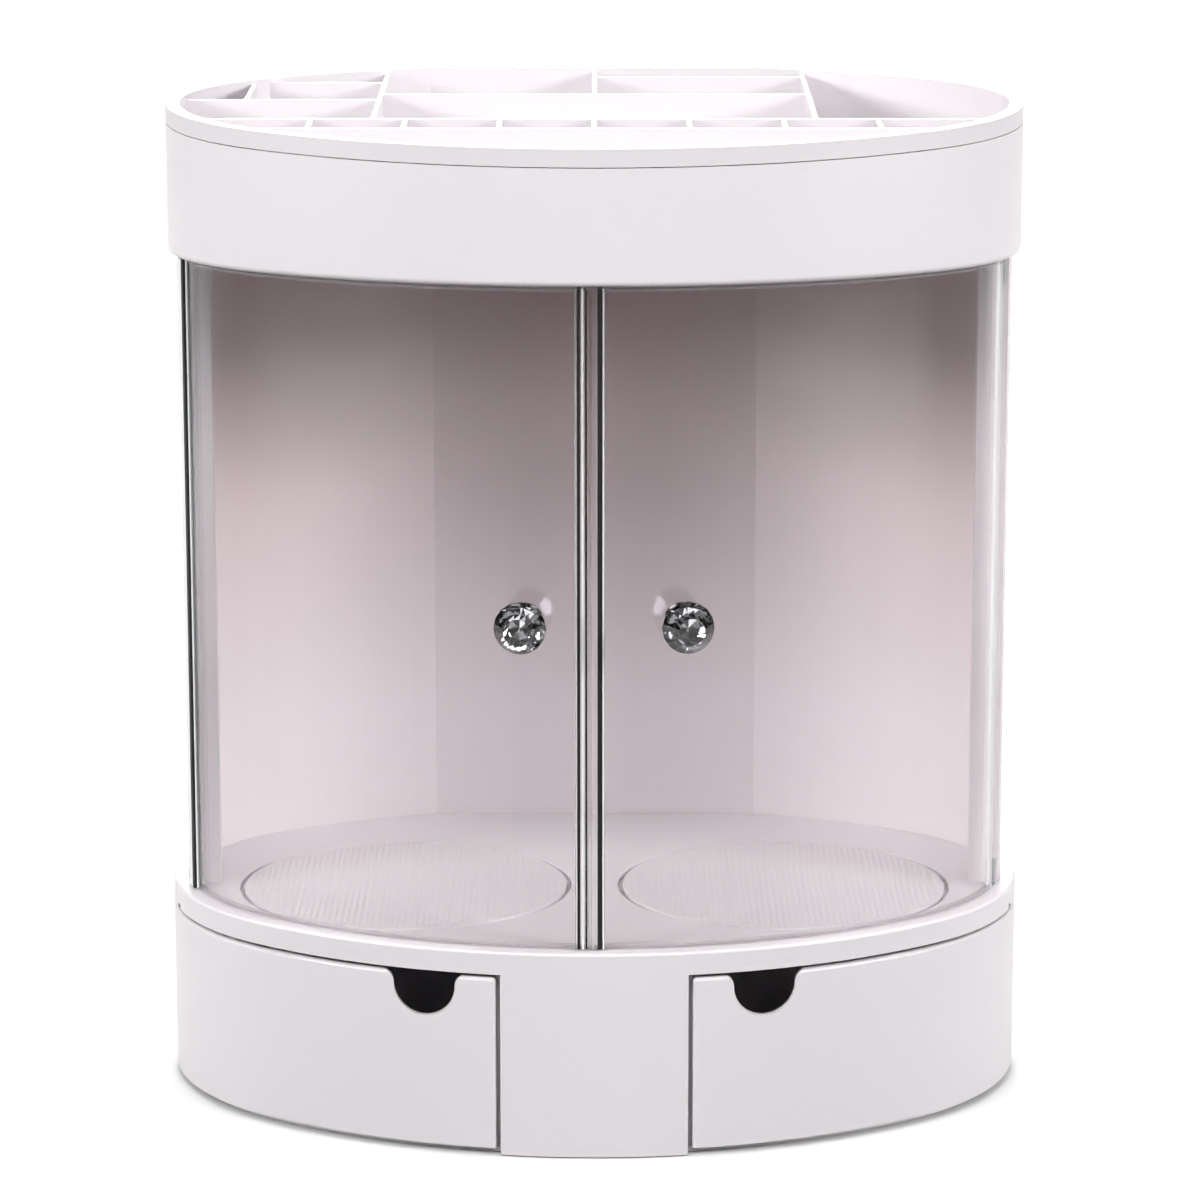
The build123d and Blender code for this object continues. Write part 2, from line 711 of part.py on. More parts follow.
def door_pins():
    """Upper and lower pins of a left door."""
    length = door_pin_seat + door_gap + door_pin_reach
    with BuildPart() as pins:
        for level in (deck_height - door_pin_reach, roof_height + door_pin_reach - length):
            with BuildSketch(Plane.XY.offset(level)):
                with Locations((hinge_x, hinge_y)):
                    Circle(door_pin_radius)
            extrude(amount=length)
    return pins


knob_seat = knob_rosette + knob_neck
crystal_seat = knob_seat + knob_cup
crystal_back_radius = crystal_radius * crystal_back_share


def knob_base(knob_x):
    """Metal seat of a crystal: rosette, neck and cup, turned round the knob's axis."""
    with BuildPart() as base:
        with BuildSketch(Plane.XZ):
            with BuildLine():
                Polyline(
                    (0, 0),
                    (knob_rosette_radius, 0),
                    (knob_rosette_radius, knob_rosette / 2),
                    (knob_neck_radius, knob_rosette),
                    (knob_neck_radius, knob_seat),
                    (crystal_back_radius, crystal_seat),
                    (0, crystal_seat),
                    close=True,
                )
            make_face()
        revolve(axis=Axis.Z)
        with BuildSketch():
            Circle(knob_screw_radius)
        extrude(amount=knob_screw_depth, mode=Mode.SUBTRACT)
    with BuildPart() as placed:
        add(knob_plane(knob_x).location * base.part)
    return placed


def knob_crystal(knob_x):
    """Faceted crystal: a table, two rows of crown facets, a girdle and a row behind it."""
    girdle = crystal_depth * crystal_girdle_share
    crown = crystal_depth - girdle
    table_radius = crystal_radius * crystal_table_share
    middle_radius = (crystal_radius + table_radius) / 2
    slopes = [
        (crystal_radius, girdle, crown / 2, crystal_radius - middle_radius, 0),
        (table_radius, crystal_depth, crown / 2, middle_radius - table_radius, 1),
        (crystal_radius, girdle, -girdle, crystal_radius - crystal_back_radius, 1),
    ]
    with BuildPart() as stone:
        with BuildSketch():
            RegularPolygon(crystal_radius, 2 * crystal_sides)
        extrude(amount=crystal_depth)
        for radius, height, rise, run, turn in slopes:
            for index in range(crystal_sides):
                angle = radians(360 / crystal_sides * (index + turn / 2))
                outward = Vector(cos(angle), sin(angle), 0)
                normal = outward * abs(rise) + Vector(0, 0, run if rise > 0 else -run)
                facet = Plane(origin=outward * radius + Vector(0, 0, height), z_dir=normal)
                split(bisect_by=facet, keep=Keep.BOTTOM)
    with BuildPart() as placed:
        add(knob_plane(knob_x).offset(crystal_seat).location * stone.part)
    return placed


def knob_screw(knob_x):
    """Screw from inside the door into the knob's seat."""
    with BuildPart() as screw:
        with BuildSketch(Plane.XY.offset(-door_thickness - pin_clearance)):
            Circle(knob_screw_head_radius)
        extrude(amount=-knob_screw_head)
        chamfer(screw.edges().group_by(Axis.Z)[0], knob_screw_head / 2)
        with BuildSketch(Plane.XY.offset(-door_thickness - pin_clearance)):
            Circle(knob_screw_radius)
        extrude(amount=door_thickness + knob_screw_depth)
    with BuildPart() as placed:
        add(knob_plane(knob_x).location * screw.part)
    return placed


# Doors: the right one is made as a left one from its own sizes and then mirrored
left_edge_x = seam_x - seam_gap / 2
right_edge_x = -seam_x - seam_gap / 2
for name, edge_x, knob_x in (("left", left_edge_x, left_knob_x), ("right", right_edge_x, -right_knob_x)):
    pieces = {
        "door_panel": door_panel(edge_x, knob_x),
        "door_meeting_strip": meeting_strip(edge_x),
        "door_hinge_strip": hinge_strip(edge_x),
        "door_pins": door_pins(),
        "knob_base": knob_base(knob_x),
        "knob_crystal": knob_crystal(knob_x),
        "knob_screw": knob_screw(knob_x),
    }
    for label, piece in pieces.items():
        save(piece if name == "left" else mirrored(piece), f"{name}_{label}")
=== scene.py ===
"""Looks of an oval makeup organizer: moulded white plastic, clear doors, crystal knobs and its studio."""

import math

import bmesh
import bpy
from bpy.props import FloatProperty, FloatVectorProperty, PointerProperty
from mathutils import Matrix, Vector


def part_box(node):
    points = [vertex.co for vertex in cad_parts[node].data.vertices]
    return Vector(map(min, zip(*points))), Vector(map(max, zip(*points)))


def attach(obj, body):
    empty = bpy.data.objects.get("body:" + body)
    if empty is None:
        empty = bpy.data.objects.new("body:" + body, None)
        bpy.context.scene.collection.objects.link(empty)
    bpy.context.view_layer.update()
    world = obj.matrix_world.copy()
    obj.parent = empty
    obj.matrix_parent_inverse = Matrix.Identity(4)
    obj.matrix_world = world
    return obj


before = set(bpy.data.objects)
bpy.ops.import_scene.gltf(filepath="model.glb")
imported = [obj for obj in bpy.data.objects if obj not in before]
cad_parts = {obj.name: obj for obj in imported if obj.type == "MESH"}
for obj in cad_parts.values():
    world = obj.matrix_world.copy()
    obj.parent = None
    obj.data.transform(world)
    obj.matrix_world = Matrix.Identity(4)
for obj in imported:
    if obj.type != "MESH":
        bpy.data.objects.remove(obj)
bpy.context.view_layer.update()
MILLIMETRE = 0.001

bl_info = {
    "name": "Makeup Organizer Looks",
    "version": (1, 0, 0),
    "blender": (4, 5, 0),
    "location": "3D View > Sidebar > Organizer",
    "description": "Dresses the packed makeup organizer and sets up its studio",
    "category": "Object",
}

SIDES = ("left", "right")
MOULDED = ("top_housing", "base_housing", "base_plate")
DRAWERS = ("left_drawer", "right_drawer")
TURNTABLES = ("left_turntable", "right_turntable")
PANELS = ("left_door_panel", "right_door_panel")
SEATS = ("left_knob_base", "right_knob_base")
STEEL = (
    *(f"{side}_{kind}" for kind in ("door_pins", "drawer_pin", "turntable_washer") for side in SIDES),
    *(f"{side}_{kind}" for kind in ("turntable_screw", "knob_screw") for side in SIDES),
    "base_screws",
    "deck_screws",
    "roof_screws",
)

# Bands along the doors' edge strips, in millimetres from a strip's left side: painted dark reflection lines,
# painted highlight lines and clear bands, and how far painted shade fades the painted highlights at the top
STRIPS = {
    "left_door_meeting_strip": {
        "dark": ((0.8, 1.8), (3.5, 4.0)),
        "highlit": ((2.3, 3.0),),
        "shaded_top": 0.6,
    },
    "right_door_meeting_strip": {
        "dark": ((2.2, 3.8),),
        "highlit": ((4.0, 4.45),),
        "shaded_top": 0.6,
    },
    "left_door_hinge_strip": {
        "dark": ((1.45, 3.2),),
        "highlit": ((0.0, 1.45), (3.2, 4.5)),
        "clear": ((4.5, 7.4),),
        "shaded_top": 0.0,
    },
    "right_door_hinge_strip": {
        "highlit": ((2.2, 3.8),),
        "clear": ((0.0, 2.2), (3.8, 7.4)),
        "shaded_top": 0.0,
    },
}
# Shares of the strips that the painted dark reflection lines and the painted highlight lines cover
DARK_COVER, HIGHLIGHT_COVER = 0.9, 0.95

# Mirrored cups of the knobs: facets round, share of the radius and share of the depth of each ring
FOIL_RINGS = ((1, 0.0, 0.12), (8, 0.45, 0.30), (16, 0.93, 0.94))
# Painted glints: how bright each facet of the mirrored cups is, in turn
FOIL_GLINTS = (0.1, 0.9, 0.0, 0.25, 0.0, 1.0, 0.05, 0.15, 0.8, 0.0, 0.3)
FOIL_THICKNESS = 0.15 * MILLIMETRE

# Stops in the gaps between the post and the drawers
STOP_CLEAR, STOP_WIDTH, STOP_DEPTH = 0.1 * MILLIMETRE, 1.2 * MILLIMETRE, 2.0 * MILLIMETRE
STOP_FRONT = -105.3 * MILLIMETRE

# Sizes of the surfaces' patterns, in metres
FLOW_SIZE, STREAK_SIZE, HAZE_SIZE, WAVE_SIZE = 0.06, 0.006, 0.05, 0.03
CRYSTAL_WAVE_SIZE, FOIL_HAZE_SIZE, DUST_SIZE, FLOOR_CLOUD_SIZE = 0.004, 0.002, 0.003, 0.7
STREAK_STRETCH = (1.0, 1.0, 0.02)
PLATING_MARKS, STEEL_MARKS = 0.0006, 0.0004
FINE_DETAIL, ROUGH_DETAIL = 3.0, 4.0

# Share of a surface's colour that its pattern's darkest places keep
FLOW_SHARE, STREAK_SHARE, WAVE_SHARE, LINE_SHARE, HIGHLIGHT_SHARE = 0.975, 0.95, 0.96, 0.5, 0.94
CRYSTAL_SHARE, METAL_SHARE, DUST_SHARE = 0.97, 0.9, 0.85
ACRYLIC_IOR, CRYSTAL_IOR = 1.49, 1.6

# Colours that no property sets, and shares of other colours
PALE_RUBBER, PLATING = (0.55, 0.55, 0.56), (0.80, 0.80, 0.82)
# The screws' cross recesses are painted shade in a dark colour
PLAIN_STEEL, RECESS_SHADE = (0.56, 0.56, 0.58), (0.06, 0.06, 0.065)
# Colours of the mirrored foil, all painted: dark reflections, dull dark reflections and glints
FOIL_DARK, FOIL_SHADE, FOIL_GLINT = (0.04, 0.04, 0.045), (0.32, 0.32, 0.34), (0.85, 0.85, 0.87)
SAWN_DARK, SAWN_PALE, SAWN_COVER = (0.30, 0.29, 0.30), (0.36, 0.35, 0.36), 0.25
GLOSS_DARK, GLOSS_PALE = (0.90, 0.90, 0.91), (0.96, 0.96, 0.97)
FLOOR_DARK, FLOOR_PALE = (0.78, 0.78, 0.78), (0.80, 0.80, 0.80)
# Painted shade: the tray's plastic is a darker copy of the moulded plastic
TRAY_SHADE_SHARE = 0.95
# Painted shade inside the rear wall under the roof: its tint, and the share of the wall's height where it
# starts
ROOF_SHADE_TINT, ROOF_SHADE_START = (0.475, 0.255, 0.20), 0.2

# Clear doors: how fast tint and gloss grow towards grazing angles, and the gloss at the most and the least
TINT_POWER, GLOSS_POWER, GLOSS_GROWTH, GLOSS_LEAST = 8.0, 5.0, 0.6, 0.03

# Screws: shares of a cross recess, its bars' taper, how flat a head is and how far apart two heads are
RECESS_TIP, RECESS_FOOT = 0.62, 0.7071
RECESS_SHARES = {"Bar share": 0.24, "Depth share": 0.04}
HEAD_FLATNESS, HEAD_DISTANCE = 0.02 * MILLIMETRE, 12 * MILLIMETRE

# Ribs of the turntables: share of the pitch that is a rib's radius, and facets round a rib
RIB_SHARE, RIB_FACETS = 0.3, 8

# Studio: floor, backdrop as radius and height, and lights as place, target, size, spread and power's property
FLOOR_SIZE = 60.0
COVE_FLOOR = 0.001
COVE_PROFILE = (
    (0.8, COVE_FLOOR),
    (1.7, COVE_FLOOR),
    (9.0, COVE_FLOOR),
    (15.0, 1.5),
    (19.0, 6.0),
    (20.0, 14.0),
    (20.0, 30.0),
)
COVE_SIDES = 64
OBJECT_MIDDLE = (0, 0, 0.15)
LIGHTS = {
    "key_light": ((-0.2, -1.75, 1.66), OBJECT_MIDDLE, (2.6, 0.8), 180, "key_power"),
    "left_light": ((-1.977, -1.141, 0.89), OBJECT_MIDDLE, (0.9, 0.5), 180, "left_power"),
    "right_light": ((1.977, -1.141, 0.89), OBJECT_MIDDLE, (0.9, 0.5), 180, "right_power"),
    "top_light": ((0, -0.1, 1.9), (0, -0.09, 0), (0.5, 0.4), 36, "top_power"),
    "back_light": ((0, 2.3, 1.2), OBJECT_MIDDLE, (0.9, 0.5), 180, "back_power"),
    "sweep_light": ((0, 4.5, 3.0), (0, 4.51, 0), (9.0, 8.4), 110, "sweep_power"),
}
SENSOR_WIDTH, CLIP_END = 36.0, 200.0

# Sockets of the Mix node for colours, which share their names with its other kinds
MIX_SHARE, MIX_LOW, MIX_HIGH, MIX_RESULT = 0, 6, 7, 2


class OrganizerFinish(bpy.types.PropertyGroup):
    """Colours and surface sizes of the organizer"""

    plastic: FloatVectorProperty(
        name="Plastic",
        description="Colour of the moulded white plastic",
        default=(0.745, 0.706, 0.733),
        size=3,
        min=0,
        max=1,
        subtype="COLOR",
    )
    shell: FloatVectorProperty(
        name="Shell",
        description="Colour of the cabinet's thin rear wall",
        default=(0.730, 0.660, 0.690),
        size=3,
        min=0,
        max=1,
        subtype="COLOR",
    )
    acrylic: FloatVectorProperty(
        name="Acrylic",
        description="Tint of the clear doors",
        default=(0.985, 0.985, 0.985),
        size=3,
        min=0,
        max=1,
        subtype="COLOR",
    )
    acrylic_deep: FloatVectorProperty(
        name="Acrylic edge-on",
        description="Tint of the clear sheet where it is seen almost edge-on",
        default=(0.55, 0.57, 0.58),
        size=3,
        min=0,
        max=1,
        subtype="COLOR",
    )
    crystal: FloatVectorProperty(
        name="Crystal",
        description="Tint of the knobs",
        default=(0.98, 0.98, 0.99),
        size=3,
        min=0,
        max=1,
        subtype="COLOR",
    )
    rib_pitch: FloatProperty(
        name="Rib pitch",
        description="Distance between the fine ribs of the turntables",
        default=2.2 * MILLIMETRE,
        min=0.5 * MILLIMETRE,
        subtype="DISTANCE",
        unit="LENGTH",
    )
    rib_rise: FloatProperty(
        name="Rib rise",
        description="How far the turntables' ribs stand out",
        default=0.16 * MILLIMETRE,
        min=0,
        subtype="DISTANCE",
        unit="LENGTH",
    )
    rib_margin: FloatProperty(
        name="Rib margin",
        description="Plain border round the turntables' ribs",
        default=2.0 * MILLIMETRE,
        min=0,
        subtype="DISTANCE",
        unit="LENGTH",
    )
    cut_edge: FloatProperty(
        name="Cut edge",
        description="Height of the grey line that the doors' cut upper and lower edges show",
        default=1.1 * MILLIMETRE,
        min=0,
        subtype="DISTANCE",
        unit="LENGTH",
    )
    # Painted dark reflections: the dark lines in the strips stand in for the dark look of their turned edges
    edge_dark_reflection: FloatVectorProperty(
        name="Edge line",
        description="Colour of the dark lines in the doors' edge strips",
        default=(0.02, 0.02, 0.02),
        size=3,
        min=0,
        max=1,
        subtype="COLOR",
    )
    # Painted highlight: colour of the bright lines in the strips
    edge_highlight: FloatVectorProperty(
        name="Edge frost",
        description="Colour of the frosted lines in the doors' edge strips",
        default=(0.88, 0.87, 0.88),
        size=3,
        min=0,
        max=1,
        subtype="COLOR",
    )
    # Strength of the painted shade inside the rear wall under the roof
    roof_shade: FloatProperty(
        name="Roof shade",
        description="How much darker the inside of the rear wall is under the roof",
        default=0.62,
        min=0,
        max=1,
        subtype="FACTOR",
    )
    girdle_share: FloatProperty(
        name="Girdle share",
        description="Share of a crystal's depth that lies behind its widest line",
        default=0.42,
        min=0,
        max=1,
        subtype="FACTOR",
    )
    foil_share: FloatProperty(
        name="Foil share",
        description="Share of a crystal's depth whose facets are mirrored behind",
        default=0.38,
        min=0,
        max=1,
        subtype="FACTOR",
    )
    recess: FloatProperty(
        name="Recess",
        description="Width of the cross recesses in the screws",
        default=2.8 * MILLIMETRE,
        min=0,
        subtype="DISTANCE",
        unit="LENGTH",
    )
    grain: FloatProperty(
        name="Grain",
        description="Size of the plastic's fine moulded grain",
        default=0.9 * MILLIMETRE,
        min=0.1 * MILLIMETRE,
        subtype="DISTANCE",
        unit="LENGTH",
    )


class OrganizerStudio(bpy.types.PropertyGroup):
    """Camera and lights"""

    camera_place: FloatVectorProperty(
        name="Camera place",
        description="Where the camera stands",
        default=(0.00194, -1.499, 0.4769),
        size=3,
        subtype="TRANSLATION",
        unit="LENGTH",
    )
    camera_pitch: FloatProperty(
        name="Camera pitch",
        description="How far the camera looks down",
        default=math.radians(11.52),
        subtype="ANGLE",
        unit="ROTATION",
    )
    lens: FloatProperty(
        name="Lens",
        description="Focal length of the camera in millimetres",
        default=127.8,
        min=1,
    )
    key_power: FloatProperty(
        name="Key power",
        description="Power of the wide soft light over the camera",
        default=24.0,
        min=0,
        subtype="POWER",
    )
    left_power: FloatProperty(
        name="Left power",
        description="Power of the soft light at the left",
        default=44.0,
        min=0,
        subtype="POWER",
    )
    right_power: FloatProperty(
        name="Right power",
        description="Power of the soft light at the right",
        default=47.0,
        min=0,
        subtype="POWER",
    )
    top_power: FloatProperty(
        name="Top power",
        description="Power of the narrow light over the tray",
        default=0.6,
        min=0,
        subtype="POWER",
    )
    back_power: FloatProperty(
        name="Back power",
        description="Power of the soft light behind the object",
        default=24.0,
        min=0,
        subtype="POWER",
    )
    sweep_power: FloatProperty(
        name="Sweep power",
        description="Power of the wide light over the floor behind the object",
        default=340.0,
        min=0,
        subtype="POWER",
    )
    zenith: FloatProperty(
        name="Zenith",
        description="Strength of the even light from above",
        default=0.1,
        min=0,
    )
    horizon: FloatProperty(
        name="Horizon",
        description="Strength of the even light from the sides",
        default=0.03,
        min=0,
    )


class Wire:
    """A socket of a node tree. Operators on it add Math nodes."""

    def __init__(self, tree, socket=None):
        self.tree = tree
        self.socket = socket

    def node(self, kind, settings=None, inputs=None, output=0):
        """Adds a node, sets its settings first and then its sockets, and returns one of its outputs."""
        made = self.tree.nodes.new(kind)
        for name, value in (settings or {}).items():
            setattr(made, name, value)
        for name, value in (inputs or {}).items():
            if isinstance(value, Wire):
                self.tree.links.new(value.socket, made.inputs[name])
            else:
                made.inputs[name].default_value = value
        return Wire(self.tree, made.outputs[output] if made.outputs else None)

    def math(self, operation, *values):
        """Adds a Math node."""
        return self.node("ShaderNodeMath", {"operation": operation}, dict(enumerate(values)))

    def __add__(self, other):
        return self.math("ADD", self, other)

    __radd__ = __add__

    def __sub__(self, other):
        return self.math("SUBTRACT", self, other)

    def __mul__(self, other):
        return self.math("MULTIPLY", self, other)

    def __truediv__(self, other):
        return self.math("DIVIDE", self, other)

    def __gt__(self, other):
        return self.math("GREATER_THAN", self, other)

    def __lt__(self, other):
        return self.math("LESS_THAN", self, other)


def new_tree(name):
    """An empty material and the wire that its nodes start from."""
    material = bpy.data.materials.new(name)
    material.use_nodes = True
    material.node_tree.nodes.clear()
    return material, Wire(material.node_tree)


def finish_tree(tree, shader):
    """Ends a material's tree with its surface."""
    tree.node("ShaderNodeOutputMaterial", inputs={"Surface": shader})


def grain_noise(tree, place, size, detail=2.0):
    """Noise whose features are about this size, in metres."""
    settings = {"noise_dimensions": "3D"}
    inputs = {"Vector": place, "Scale": 1.0 / size, "Detail": detail, "Roughness": 0.55}
    return tree.node("ShaderNodeTexNoise", settings, inputs)


def tinted(tree, share, low, high):
    """Colour between two colours by a share."""
    settings = {"data_type": "RGBA", "clamp_factor": True}
    low, high = (colour if isinstance(colour, Wire) else (*colour, 1.0) for colour in (low, high))
    inputs = {MIX_SHARE: share, MIX_LOW: low, MIX_HIGH: high}
    return tree.node("ShaderNodeMix", settings, inputs, output=MIX_RESULT)


def shaded(colour, share):
    """A share of a colour."""
    return [channel * share for channel in colour]


def mixed(tree, share, first, second):
    """Shader between two shaders by a share."""
    return tree.node("ShaderNodeMixShader", inputs={0: share, 1: first, 2: second})


def clear_shader(tree, tint):
    """See-through shader of a tint."""
    return tree.node("ShaderNodeBsdfTransparent", inputs={"Color": (*tint, 1.0)})


def vector_math(tree, operation, first, second, output="Vector"):
    """Adds a Vector Math node for two vectors."""
    return tree.node("ShaderNodeVectorMath", {"operation": operation}, {0: first, 1: second}, output)


def object_place(tree):
    """Place on the object's own axes."""
    return tree.node("ShaderNodeTexCoord", output="Object")


def axis_of(tree, place, axis):
    """One coordinate of a place."""
    return tree.node("ShaderNodeSeparateXYZ", inputs={"Vector": place}, output=axis)


def ramp(tree, value, start, end):
    """Share that climbs from 0 at one value to 1 at another."""
    settings = {"clamp": True}
    inputs = {"Value": value, "From Min": start, "From Max": end}
    return tree.node("ShaderNodeMapRange", settings, inputs)


def plastic_material(name, colour, finish):
    """Moulded white plastic: faint flow marks and a fine grain."""
    material, tree = new_tree(name)
    place = object_place(tree)
    flow = grain_noise(tree, place, FLOW_SIZE)
    fine = grain_noise(tree, place, finish.grain, FINE_DETAIL)
    finish_plastic(tree, tinted(tree, flow, shaded(colour, FLOW_SHARE), colour), fine)
    return material


def shell_material(finish):
    """Thin rear wall: upright flow streaks, and painted shade that darkens the inside towards the roof."""
    material, tree = new_tree("shell_plastic")
    place = object_place(tree)
    facing = Wire(tree.tree, place.socket.node.outputs["Normal"])
    streaks = grain_noise(tree, vector_math(tree, "MULTIPLY", place, STREAK_STRETCH), STREAK_SIZE)
    fine = grain_noise(tree, place, finish.grain, FINE_DETAIL)
    colour = tuple(finish.shell)
    wall = tinted(tree, streaks, shaded(colour, STREAK_SHARE), colour)
    low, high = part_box("back_shell")
    outward = vector_math(tree, "MULTIPLY", place, (1.0, 1.0, 0.0))
    inside = vector_math(tree, "DOT_PRODUCT", facing, outward, "Value") < 0.0
    start = low.z + (high.z - low.z) * ROOF_SHADE_START
    # Painted shade: the inside of the wall darkens and reddens towards the roof
    shade_climb = ramp(tree, axis_of(tree, place, "Z"), start, high.z) * finish.roof_shade
    painted_roof_shade = [channel * tint for channel, tint in zip(colour, ROOF_SHADE_TINT)]
    finish_plastic(tree, tinted(tree, shade_climb * inside, wall, painted_roof_shade), fine)
    return material


def finish_plastic(tree, base, fine):
    """Ends a tree with a softly glossy plastic of this colour and grain."""
    normal = tree.node(
        "ShaderNodeBump",
        inputs={"Strength": 0.12, "Distance": 0.08 * MILLIMETRE, "Height": fine * 0.4},
    )
    shader = tree.node(
        "ShaderNodeBsdfPrincipled",
        inputs={
            "Base Color": base,
            "Roughness": 0.30 + fine * 0.10,
            "IOR": ACRYLIC_IOR,
            "Specular IOR Level": 0.45,
            "Normal": normal,
        },
    )
    finish_tree(tree, shader)


def panel_material(finish):
    """Clear acrylic sheet: see-through, with tint and gloss that grow towards grazing angles."""
    material, tree = new_tree("clear_acrylic_sheet")
    place = object_place(tree)
    haze = grain_noise(tree, place, HAZE_SIZE)
    grazing = tree.node("ShaderNodeLayerWeight", inputs={"Blend": 0.5}, output="Facing")
    gloss = tree.node(
        "ShaderNodeBsdfPrincipled",
        inputs={
            "Base Color": tinted(tree, haze, GLOSS_DARK, GLOSS_PALE),
            "Metallic": 1.0,
            "Roughness": 0.02 + haze * 0.02,
        },
    )
    sawn = tree.node(
        "ShaderNodeBsdfPrincipled",
        inputs={"Base Color": tinted(tree, haze, SAWN_DARK, SAWN_PALE), "Roughness": 0.5},
    )
    clear, deep = clear_shader(tree, finish.acrylic), clear_shader(tree, finish.acrylic_deep)
    tint = mixed(tree, tree.math("POWER", grazing, TINT_POWER), clear, deep)
    share = tree.math("POWER", grazing, GLOSS_POWER) * GLOSS_GROWTH + GLOSS_LEAST
    sheet = mixed(tree, share, tint, gloss)
    level = axis_of(tree, place, "Z")
    low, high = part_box("left_door_panel")
    cut = (level < low.z + finish.cut_edge) + (level > high.z - finish.cut_edge)
    finish_tree(tree, mixed(tree, cut * SAWN_COVER, sheet, sawn))
    return material


def banded(tree, across, start, bands):
    """Mask of the bands, in millimetres from a start along X."""
    mask = across * 0.0
    for low, high in bands:
        mask = mask + (across > start + low * MILLIMETRE) * (across < start + high * MILLIMETRE)
    return mask


def strip_material(node, bands, finish):
    """Clear edge channel: bends light, with painted dark reflection lines and painted highlight lines along
    its turned edges.
    """
    material, tree = new_tree(f"{node}_acrylic")
    place = object_place(tree)
    waves = grain_noise(tree, place, WAVE_SIZE)
    across, level = axis_of(tree, place, "X"), axis_of(tree, place, "Z")
    low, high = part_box(node)
    dark, highlit, opened = (
        banded(tree, across, low.x, bands.get(kind, ())) for kind in ("dark", "highlit", "clear")
    )
    acrylic, line, pale = tuple(finish.acrylic), tuple(finish.edge_dark_reflection), tuple(finish.edge_highlight)
    channel = tree.node(
        "ShaderNodeBsdfPrincipled",
        inputs={
            "Base Color": tinted(tree, waves, shaded(acrylic, WAVE_SHARE), acrylic),
            "Roughness": 0.02 + waves * 0.03,
            "IOR": ACRYLIC_IOR,
            "Transmission Weight": 1.0,
        },
    )
    # Painted dark reflection lines in the strip
    lines = tree.node(
        "ShaderNodeBsdfPrincipled",
        inputs={
            "Base Color": tinted(tree, waves, shaded(line, LINE_SHARE), line),
            "Roughness": 0.5 + waves * 0.2,
            "Specular IOR Level": 0.1,
        },
    )
    # Painted highlight lines in the strip, lit like white plastic
    highlight = tree.node(
        "ShaderNodeBsdfPrincipled",
        inputs={
            "Base Color": tinted(tree, waves, shaded(pale, HIGHLIGHT_SHARE), pale),
            "Roughness": 0.35 + waves * 0.1,
        },
    )
    body = mixed(tree, opened, channel, clear_shader(tree, acrylic))
    lined = mixed(tree, dark * DARK_COVER, body, lines)
    # Painted shade: the painted highlights fade towards the top of the strip
    top_shade = bands["shaded_top"]
    highlight_kept = ramp(tree, level, high.z, (low.z + 2 * high.z) / 3) * top_shade + (HIGHLIGHT_COVER - top_shade)
    finish_tree(tree, mixed(tree, highlit * highlight_kept, lined, highlight))
    return material


def plain_mesh(name, mesh, material):
    """Ends a bmesh as a mesh with outward faces in one material."""
    bmesh.ops.recalc_face_normals(mesh, faces=mesh.faces)
    made = bpy.data.meshes.new(name)
    mesh.to_mesh(made)
    mesh.free()
    made.materials.append(material)
    return made


def linked(name, data):
    """A new object in the scene."""
    made = bpy.data.objects.new(name, data)
    bpy.context.scene.collection.objects.link(made)
    return made


def knob_axis(side):
    """Direction in which a knob points out of its door, which its crystal's flat front faces."""
    low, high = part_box(f"{side}_knob_crystal")
    seat_low, seat_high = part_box(f"{side}_knob_base")
    outward = low + high - seat_low - seat_high
    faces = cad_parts[f"{side}_knob_crystal"].data.polygons
    return max((face.normal for face in faces), key=outward.dot).copy()


def knob_foil(side, material, finish):
    """Mirrored cup behind a crystal: rings of small facets that lead from its girdle down to its seat."""
    axis = knob_axis(side)
    up = Vector((0, 0, 1))
    aside = up.cross(axis).normalized()
    points = [vertex.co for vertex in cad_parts[f"{side}_knob_crystal"].data.vertices]
    spans = [[direction.dot(point) for point in points] for direction in (aside, up, axis)]
    radius = (max(spans[1]) - min(spans[1])) / 2
    seat, depth = min(spans[2]), max(spans[2]) - min(spans[2])
    middle = aside * (max(spans[0]) + min(spans[0])) / 2 + up * (max(spans[1]) + min(spans[1])) / 2
    girdle = depth * finish.girdle_share
    count = FOIL_RINGS[-1][0]
    mesh = bmesh.new()

    def ring(number, reach, rise, back):
        made = []
        for index in range(number):
            angle = 2 * math.pi * index / number
            flat = aside * math.cos(angle) + up * math.sin(angle)
            level = axis * (seat + girdle * rise - back)
            made.append(mesh.verts.new(middle + flat * radius * reach + level))
        return [made[index * number // count] for index in range(count)]

    for back in (0.0, FOIL_THICKNESS):
        rows = [ring(*row, back) for row in FOIL_RINGS]
        for inner, outer in zip(rows, rows[1:]):
            for index in range(count):
                after = (index + 1) % count
                corners = (inner[index], outer[index], outer[after], inner[after])
                loop = list(dict.fromkeys(corners))
                if len(loop) == 4:
                    mesh.faces.new((loop[0], loop[1], loop[2]))
                    mesh.faces.new((loop[0], loop[2], loop[3]))
                elif len(loop) == 3:
                    mesh.faces.new(loop)
        if back:
            for index in range(count):
                after = (index + 1) % count
                mesh.faces.new((rim[index], rim[after], rows[-1][after], rows[-1][index]))
        rim = rows[-1]
    made = plain_mesh(f"{side}_knob_foil", mesh, material)
    # Painted glints: each facet gets its own brightness
    silver = made.attributes.new("silver", "FLOAT", "FACE")
    for index, share in enumerate(silver.data):
        share.value = FOIL_GLINTS[index % len(FOIL_GLINTS)]
    piece = linked(f"{side}_knob_foil", made)
    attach(piece, f"{side}_door")


